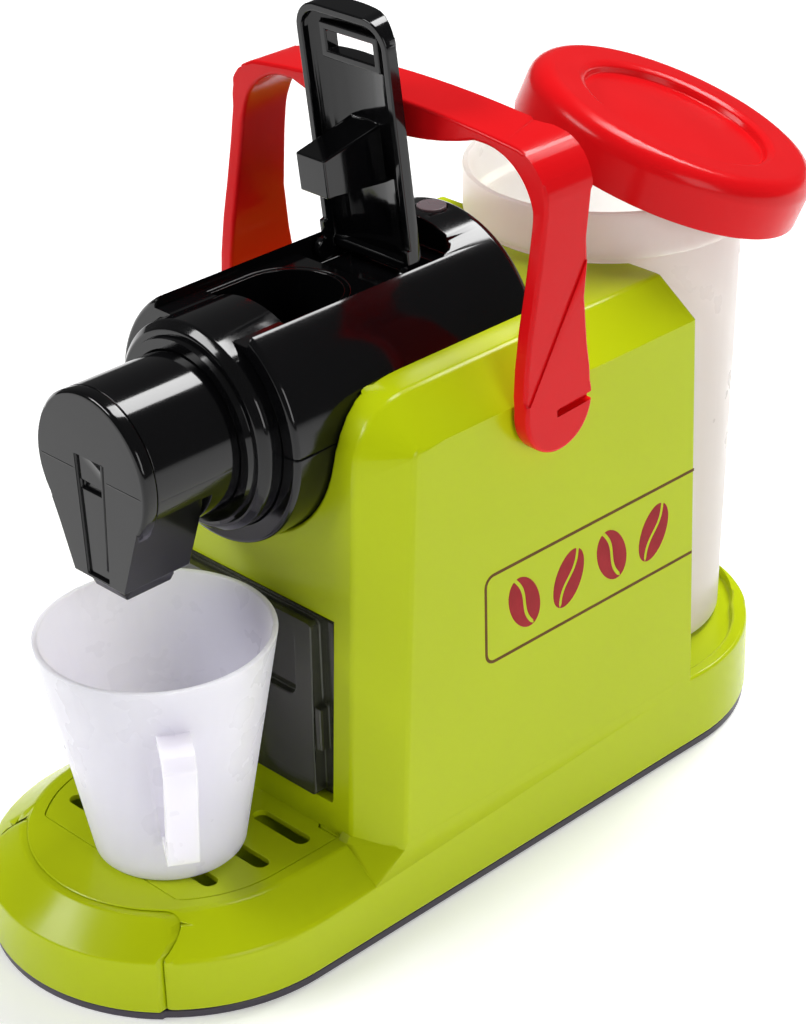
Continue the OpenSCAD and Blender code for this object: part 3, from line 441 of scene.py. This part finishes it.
class TOY_OT_housing(ToyPiece, bpy.types.Operator):
    """Make the green housing with its rounded moulded edges"""

    bl_idname = "toy.housing"
    bl_label = "Housing"

    def execute(self, context):
        nodes = ("main_housing", "base_shell", "drawer_case")
        names = ("housing_shell", "base_moulding", "drawer_case_moulding")
        broad, fine = shape().shell_edge, shape().small_edge
        for node, name, edge in zip(nodes, names, (broad, broad, fine)):
            others = tuple(other for other in nodes if other != node)
            moulding(node, name, edge, shape().edge_steps, others)
        return {"FINISHED"}


class TOY_OT_base(ToyPiece, bpy.types.Operator):
    """Make the base plate, the drip tray and its grille"""

    bl_idname = "toy.base"
    bl_label = "Base and Tray"

    def execute(self, context):
        moulding("base_plate", "base_plate_moulding", shape().small_edge)
        moulding("drip_tray", "drip_tray_moulding", shape().small_edge)
        moulding("drip_grille", "drip_grille_moulding", shape().fine_edge)
        return {"FINISHED"}


class TOY_OT_brew_unit(ToyPiece, bpy.types.Operator):
    """Make the brew unit's shells, its collar, nozzle and spout"""

    bl_idname = "toy.brew_unit"
    bl_label = "Brew Unit"

    def execute(self, context):
        moulding("brew_upper_shell", "brew_unit_upper", shape().small_edge)
        moulding("brew_lower_shell", "brew_unit_lower", shape().small_edge)
        moulding("capsule_sleeve", "capsule_sleeve_moulding", shape().fine_edge)
        moulding("collar_ring", "collar_moulding", shape().small_edge)
        moulding("nozzle_tube", "nozzle_moulding", shape().fine_edge)
        moulding("spout_head", "spout_moulding", shape().small_edge)
        spout_trim()
        return {"FINISHED"}


SPOUT_FACE = -97.5 * MM
CHANNEL_DEPTH = 0.8 * MM
TRIM_SINK = 0.02 * MM
BEAD_TOP, BEAD_FOOT = (4.9 * MM, 143.0 * MM), (3.6 * MM, 111.5 * MM)
BEAD_WIDTHS, BEAD_RISE = (1.3 * MM, 1.0 * MM), 0.9 * MM
# Across the bead: a share of its width, then a share of its height.
BEAD_SECTION = ((-0.5, 0.0), (-0.42, 0.7), (-0.2, 1.0), (0.2, 1.0), (0.42, 0.7), (0.5, 0.0))
BEAD_END_WIDTH, BEAD_END_RISE = 0.6, 0.3
PARTING_HEIGHT = 137.6 * MM
PARTING_SPANS = ((-19.6 * MM, -5.9 * MM), (5.9 * MM, 19.6 * MM))
PARTING_WIDTH, PARTING_RISE = 0.35 * MM, 0.12 * MM


def tapered_bead(form, start, end, widths, y_back, proud):
    """A raised bead with a rounded ridge and sloping ends between two points in X and Z."""
    along = (Vector((end[0], 0, end[1])) - Vector((start[0], 0, start[1]))).normalized()
    across = Vector((along.z, 0, -along.x))
    rings = []
    for (x, z), width, rise in (
        (start, widths[0] * BEAD_END_WIDTH, BEAD_END_RISE),
        ((start[0] + along.x * MM, start[1] + along.z * MM), widths[0], 1.0),
        ((end[0] - along.x * MM, end[1] - along.z * MM), widths[1], 1.0),
        (end, widths[1] * BEAD_END_WIDTH, BEAD_END_RISE),
    ):
        foot = Vector((x, y_back, z))
        ring = []
        for share, height in BEAD_SECTION:
            out = Vector((0, -proud * rise * height, 0))
            ring.append(form.verts.new(foot + across * (share * width) + out))
        rings.append(ring)
    for ring, following in zip(rings, rings[1:]):
        for i in range(len(ring)):
            k = (i + 1) % len(ring)
            form.faces.new((ring[i], ring[k], following[k], following[i]))
    form.faces.new(rings[0])
    form.faces.new(rings[-1])


def spout_trim():
    """The bead in the spout's channel and the line where its mould parts."""
    form = bmesh.new()
    channel_floor = SPOUT_FACE + CHANNEL_DEPTH + TRIM_SINK
    tapered_bead(form, BEAD_TOP, BEAD_FOOT, BEAD_WIDTHS, channel_floor, BEAD_RISE)
    for start, end in PARTING_SPANS:
        tapered_bead(
            form,
            (start, PARTING_HEIGHT),
            (end, PARTING_HEIGHT),
            (PARTING_WIDTH, PARTING_WIDTH),
            SPOUT_FACE + TRIM_SINK,
            PARTING_RISE,
        )
    piece = mesh_object("spout_trim", form)
    smooth_by_angle(piece)
    return finish_piece(piece, "black_plastic", "housing")


class TOY_OT_lever(ToyPiece, bpy.types.Operator):
    """Make the raised lever"""

    bl_idname = "toy.lever"
    bl_label = "Lever"

    def execute(self, context):
        moulding("lever", "lever_moulding", shape().small_edge)
        return {"FINISHED"}


LEG_SWELL = 0.5 * MM
STRAP_CROWN = 390.0 * MM
CORNER_CUTS = 10
WELD_DISTANCE = 1e-6


def soften_strap_corners(form, radius):
    """Rounds the strap's two outer corners in X and Z to one soft arc."""
    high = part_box("carry_handle")[1]
    half = high.x - LEG_SWELL
    centre_x = half - radius
    centre_z = high.z - centre_x**2 / (2 * STRAP_CROWN) - radius
    for i in range(CORNER_CUTS + 1):
        share = i / CORNER_CUTS
        for place, direction in (
            ((centre_x + radius * share, 0, 0), (1, 0, 0)),
            ((-centre_x - radius * share, 0, 0), (1, 0, 0)),
            ((0, 0, centre_z + radius * share), (0, 0, 1)),
        ):
            bmesh.ops.bisect_plane(
                form,
                geom=form.verts[:] + form.edges[:] + form.faces[:],
                dist=WELD_DISTANCE,
                plane_co=place,
                plane_no=direction,
            )
    for corner in form.verts:
        across, up = abs(corner.co.x) - centre_x, corner.co.z - centre_z
        distance = math.hypot(across, up)
        if across > 0 and up > 0 and distance > radius:
            corner.co.x = math.copysign(centre_x + across * radius / distance, corner.co.x)
            corner.co.z = centre_z + up * radius / distance
    return with_whole_faces(form)


class TOY_OT_carry_handle(ToyPiece, bpy.types.Operator):
    """Make the carrying handle"""

    bl_idname = "toy.carry_handle"
    bl_label = "Carrying Handle"

    def execute(self, context):
        strap = soften_strap_corners(node_form("carry_handle"), shape().strap_corner)
        edge, steps = shape().shell_edge, shape().edge_steps
        moulding("carry_handle", "carry_handle_moulding", edge, steps, form=strap)
        return {"FINISHED"}


class TOY_OT_tank(ToyPiece, bpy.types.Operator):
    """Make the water tank and its lid"""

    bl_idname = "toy.tank"
    bl_label = "Tank and Lid"

    def execute(self, context):
        moulding("water_tank", "water_tank_moulding", shape().small_edge)
        moulding("tank_lid", "tank_lid_moulding", shape().small_edge)
        return {"FINISHED"}


class TOY_OT_drawer(ToyPiece, bpy.types.Operator):
    """Make the capsule drawer"""

    bl_idname = "toy.drawer"
    bl_label = "Capsule Drawer"

    def execute(self, context):
        moulding("capsule_drawer", "capsule_drawer_moulding", shape().small_edge)
        return {"FINISHED"}


class TOY_OT_cup(ToyPiece, bpy.types.Operator):
    """Make the cup"""

    bl_idname = "toy.cup"
    bl_label = "Cup"

    def execute(self, context):
        moulding("cup", "cup_moulding", shape().small_edge)
        return {"FINISHED"}


PLAIN_NODES = (
    "base_screws",
    "shell_screws",
    "button_spring",
    "handle_stud_right",
    "handle_stud_left",
)


class TOY_OT_small_parts(ToyPiece, bpy.types.Operator):
    """Give the screws, the spring, the studs and the button their finishes"""

    bl_idname = "toy.small_parts"
    bl_label = "Small Parts"

    def execute(self, context):
        moulding("top_button", "button_moulding", shape().fine_edge)
        for node in PLAIN_NODES:
            plain_node(node)
        return {"FINISHED"}


# ---------- print on the side ----------

PRINT_FOOT, PRINT_TOP = 67.0 * MM, 94.0 * MM
PRINT_FRONT, PRINT_BACK = -14.0 * MM, 69.2 * MM
PRINT_CORNER = 3.5 * MM
PANEL_FACE = 52.5 * MM
BEAN_SIZE, BEAN_GAP = (5.4 * MM, 8.6 * MM), 0.55 * MM
BEAN_TILT, BEAN_WAVE, SEAM_LENGTH = 24, 0.16, 0.985
FIRST_BEAN, BEAN_STEP, BEAN_COUNT = 1.0 * MM, 17.2 * MM, 4


def corner_arc(centre, radius, start, turn, count=8):
    """Points of an arc in Y and Z."""
    return [
        (
            centre[0] + radius * math.cos(math.radians(start + turn * i / count)),
            centre[1] + radius * math.sin(math.radians(start + turn * i / count)),
        )
        for i in range(count + 1)
    ]


def frame_path(inset):
    """The print's line in Y and Z, from the back edge round the front corners to the back edge."""
    radius = PRINT_CORNER - inset
    front, foot, top = PRINT_FRONT + inset, PRINT_FOOT + inset, PRINT_TOP - inset
    return (
        [(PRINT_BACK, top)]
        + corner_arc((front + radius, top - radius), radius, 90, 90)
        + corner_arc((front + radius, foot + radius), radius, 180, 90)
        + [(PRINT_BACK, foot)]
    )


def printed_strip(form, outer, inner, x, lift):
    """A closed flat strip of ink between two paths of equal length."""
    rings = []
    for path, depth in ((outer, 0.0), (outer, lift), (inner, lift), (inner, 0.0)):
        rings.append([form.verts.new((x + depth, y, z)) for y, z in path])
    for ring, following in zip(rings, rings[1:] + rings[:1]):
        for i in range(len(ring) - 1):
            form.faces.new((ring[i], ring[i + 1], following[i + 1], following[i]))
    for end in (0, -1):
        form.faces.new([ring[end] for ring in rings])


def bean_half(side, size, gap, count=18):
    """Half of a coffee bean in its own plane, cut from the other by a wavy gap."""
    half_w, half_h = size
    wave = BEAN_WAVE * half_w
    points = []
    for i in range(count + 1):
        angle = math.pi * i / count - math.pi / 2
        points.append((side * half_w * math.cos(angle), half_h * math.sin(angle)))
    for i in range(count + 1):
        t = 1.0 - 2.0 * i / count
        seam = wave * math.sin(math.pi * t) + side * gap
        points.append((seam, half_h * SEAM_LENGTH * t))
    return [point for i, point in enumerate(points) if i not in (count, 2 * count + 1)]


def print_motif(form, x, lift):
    """A row of plain coffee beans inside the line."""
    middle = (PRINT_FOOT + PRINT_TOP) / 2
    for i in range(BEAN_COUNT):
        tilt = math.radians(-BEAN_TILT if i % 2 else BEAN_TILT)
        for side in (-1, 1):
            outline = [
                (
                    FIRST_BEAN + BEAN_STEP * i + u * math.cos(tilt) - v * math.sin(tilt),
                    middle + u * math.sin(tilt) + v * math.cos(tilt),
                )
                for u, v in bean_half(side, BEAN_SIZE, BEAN_GAP)
            ]
            low = [form.verts.new((x, y, z)) for y, z in outline]
            high = [form.verts.new((x + lift, y, z)) for y, z in outline]
            form.faces.new(low)
            form.faces.new(high)
            for j in range(len(low)):
                k = (j + 1) % len(low)
                form.faces.new((low[j], low[k], high[k], high[j]))


class TOY_OT_side_print(ToyPiece, bpy.types.Operator):
    """Print the line and the row of beans on the side panel"""

    bl_idname = "toy.side_print"
    bl_label = "Side Print"

    def execute(self, context):
        side = min(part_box("main_housing")[1].x, PANEL_FACE)
        lift = shape().print_lift
        line = bmesh.new()
        printed_strip(line, frame_path(0.0), frame_path(shape().print_line), side, lift)
        line_piece = mesh_object("side_print_line", line)
        motif = bmesh.new()
        print_motif(motif, side, lift)
        motif_piece = mesh_object("side_print_beans", motif)
        colours = context.scene.toy_colours
        for piece, colour in ((line_piece, colours.line), (motif_piece, colours.ink)):
            piece.data.materials.append(printing_ink(piece.name + "_ink", colour))
            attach(piece, "housing")
        return {"FINISHED"}


# ---------- stage ----------

CAMERA_PLACE = Vector((487.1, -457.9, 453.7)) * MM
CAMERA_YAW, CAMERA_PITCH, CAMERA_ROLL = (math.radians(a) for a in (46.28, 28.67, -1.64))
CAMERA_LENS = 97.85


def camera_turn():
    """The camera's rotation from its yaw, its downward pitch and its roll."""
    ahead = Vector(
        (
            -math.sin(CAMERA_YAW) * math.cos(CAMERA_PITCH),
            math.cos(CAMERA_YAW) * math.cos(CAMERA_PITCH),
            -math.sin(CAMERA_PITCH),
        )
    )
    level = ahead.cross(Vector((0, 0, 1))).normalized()
    upright = level.cross(ahead)
    right = math.cos(CAMERA_ROLL) * level + math.sin(CAMERA_ROLL) * upright
    up = math.cos(CAMERA_ROLL) * upright - math.sin(CAMERA_ROLL) * level
    return Matrix((right, up, -ahead)).transposed().to_quaternion()


FLOOR_REACH = 4.0
FLOOR_GLOSS, FLOOR_GLOW, FLOOR_GRAIN = 0.7, 0.35, 3.0
ROOM_LIGHT, BACKDROP_LIGHT = 0.1, 1.0
AIM = (0.0, 0.0, 0.1)
SOFTBOXES = (
    ("overhead_softbox", (-0.14, 1.3, 2.2), (0.8, 1.7), 66.0),
    ("front_softbox", (-1.2, -1.9, 2.1), (1.5, 0.7), 44.0),
    ("side_softbox", (2.6, -0.4, 1.0), (1.3, 1.3), 20.0),
)


def area_light(name, place, size, power):
    """A soft rectangular lamp that faces the toy."""
    data = bpy.data.lights.new(name, "AREA")
    data.shape = "RECTANGLE"
    data.size, data.size_y = size
    data.energy = power
    lamp = bpy.data.objects.new(name, data)
    lamp.location = Vector(place)
    lamp.rotation_mode = "QUATERNION"
    lamp.rotation_quaternion = (Vector(AIM) - Vector(place)).to_track_quat("-Z", "Y")
    bpy.context.scene.collection.objects.link(lamp)


def studio_floor(pale):
    """A plain pale floor of matt paper."""
    form = bmesh.new()
    corners = ((-1, -1), (1, -1), (1, 1), (-1, 1))
    form.faces.new([form.verts.new((x * FLOOR_REACH, y * FLOOR_REACH, 0.0)) for x, y in corners])
    floor = mesh_object("floor", form)
    material, tree, shader = node_material("floor_paper")
    paler = tuple(min(1.0, c * 1.02) for c in pale)
    paper = ramp(tree, noise(tree, FLOOR_GRAIN), pale, paler)
    tree.links.new(paper, shader.inputs["Base Color"])
    shader.inputs["Roughness"].default_value = FLOOR_GLOSS
    shader.inputs["Emission Color"].default_value = (1.0, 1.0, 1.0, 1.0)
    shader.inputs["Emission Strength"].default_value = FLOOR_GLOW
    floor.data.materials.append(material)


def studio_world():
    """A white backdrop that gives the toy itself only a little light."""
    world = bpy.data.worlds.new("studio")
    world.use_nodes = True
    tree = world.node_tree
    background = tree.nodes["Background"]
    background.inputs["Color"].default_value = (1.0, 1.0, 1.0, 1.0)
    seen = tree.nodes.new("ShaderNodeLightPath").outputs["Is Camera Ray"]
    level = tree.nodes.new("ShaderNodeMapRange")
    level.inputs["To Min"].default_value = ROOM_LIGHT
    level.inputs["To Max"].default_value = BACKDROP_LIGHT
    tree.links.new(seen, level.inputs["Value"])
    tree.links.new(level.outputs["Result"], background.inputs["Strength"])
    return world


def photo_camera():
    """The camera that was fitted to the photograph."""
    data = bpy.data.cameras.new("photo_camera")
    data.lens = CAMERA_LENS
    data.clip_start, data.clip_end = 0.01, 20.0
    camera = bpy.data.objects.new("photo_camera", data)
    camera.location = CAMERA_PLACE
    camera.rotation_mode = "QUATERNION"
    camera.rotation_quaternion = camera_turn()
    bpy.context.scene.collection.objects.link(camera)
    return camera


class TOY_OT_stage(ToyPiece, bpy.types.Operator):
    """Set up the floor, the studio lights and the camera"""

    bl_idname = "toy.stage"
    bl_label = "Stage"

    def execute(self, context):
        scene = context.scene
        studio_floor(tuple(scene.toy_colours.floor))
        scene.world = studio_world()
        scene.view_settings.view_transform = "Standard"
        for name, place, size, power in SOFTBOXES:
            area_light(name, place, size, power)
        scene.camera = photo_camera()
        return {"FINISHED"}


# ---------- panel ----------

PIECE_OPERATORS = (
    TOY_OT_housing,
    TOY_OT_base,
    TOY_OT_brew_unit,
    TOY_OT_lever,
    TOY_OT_carry_handle,
    TOY_OT_tank,
    TOY_OT_drawer,
    TOY_OT_cup,
    TOY_OT_small_parts,
    TOY_OT_side_print,
    TOY_OT_stage,
)


class TOY_PT_panel(bpy.types.Panel):
    """Sidebar panel with the settings and one button for each group of pieces"""

    bl_idname = "TOY_PT_panel"
    bl_label = "Toy Coffee Maker"
    bl_space_type = "VIEW_3D"
    bl_region_type = "UI"
    bl_category = "Toy"

    def draw(self, context):
        for settings in (context.scene.toy_shape, context.scene.toy_colours):
            for name in settings.__annotations__:
                self.layout.prop(settings, name)
        for operator in PIECE_OPERATORS:
            self.layout.operator(operator.bl_idname)


CLASSES = (ToyShapeSettings, ToyColourSettings, *PIECE_OPERATORS, TOY_PT_panel)


def register():
    for cls in CLASSES:
        bpy.utils.register_class(cls)
    bpy.types.Scene.toy_shape = PointerProperty(type=ToyShapeSettings)
    bpy.types.Scene.toy_colours = PointerProperty(type=ToyColourSettings)


def unregister():
    del bpy.types.Scene.toy_colours
    del bpy.types.Scene.toy_shape
    for cls in reversed(CLASSES):
        bpy.utils.unregister_class(cls)


def run_operator(cls):
    """Calls an operator by its name and stops the script if it doesn't finish."""
    group, name = cls.bl_idname.split(".")
    if getattr(getattr(bpy.ops, group), name)() != {"FINISHED"}:
        raise RuntimeError(f"{cls.bl_label} didn't finish")


def main():
    register()
    for cls in PIECE_OPERATORS:
        run_operator(cls)


if __name__ == "__main__":
    main()
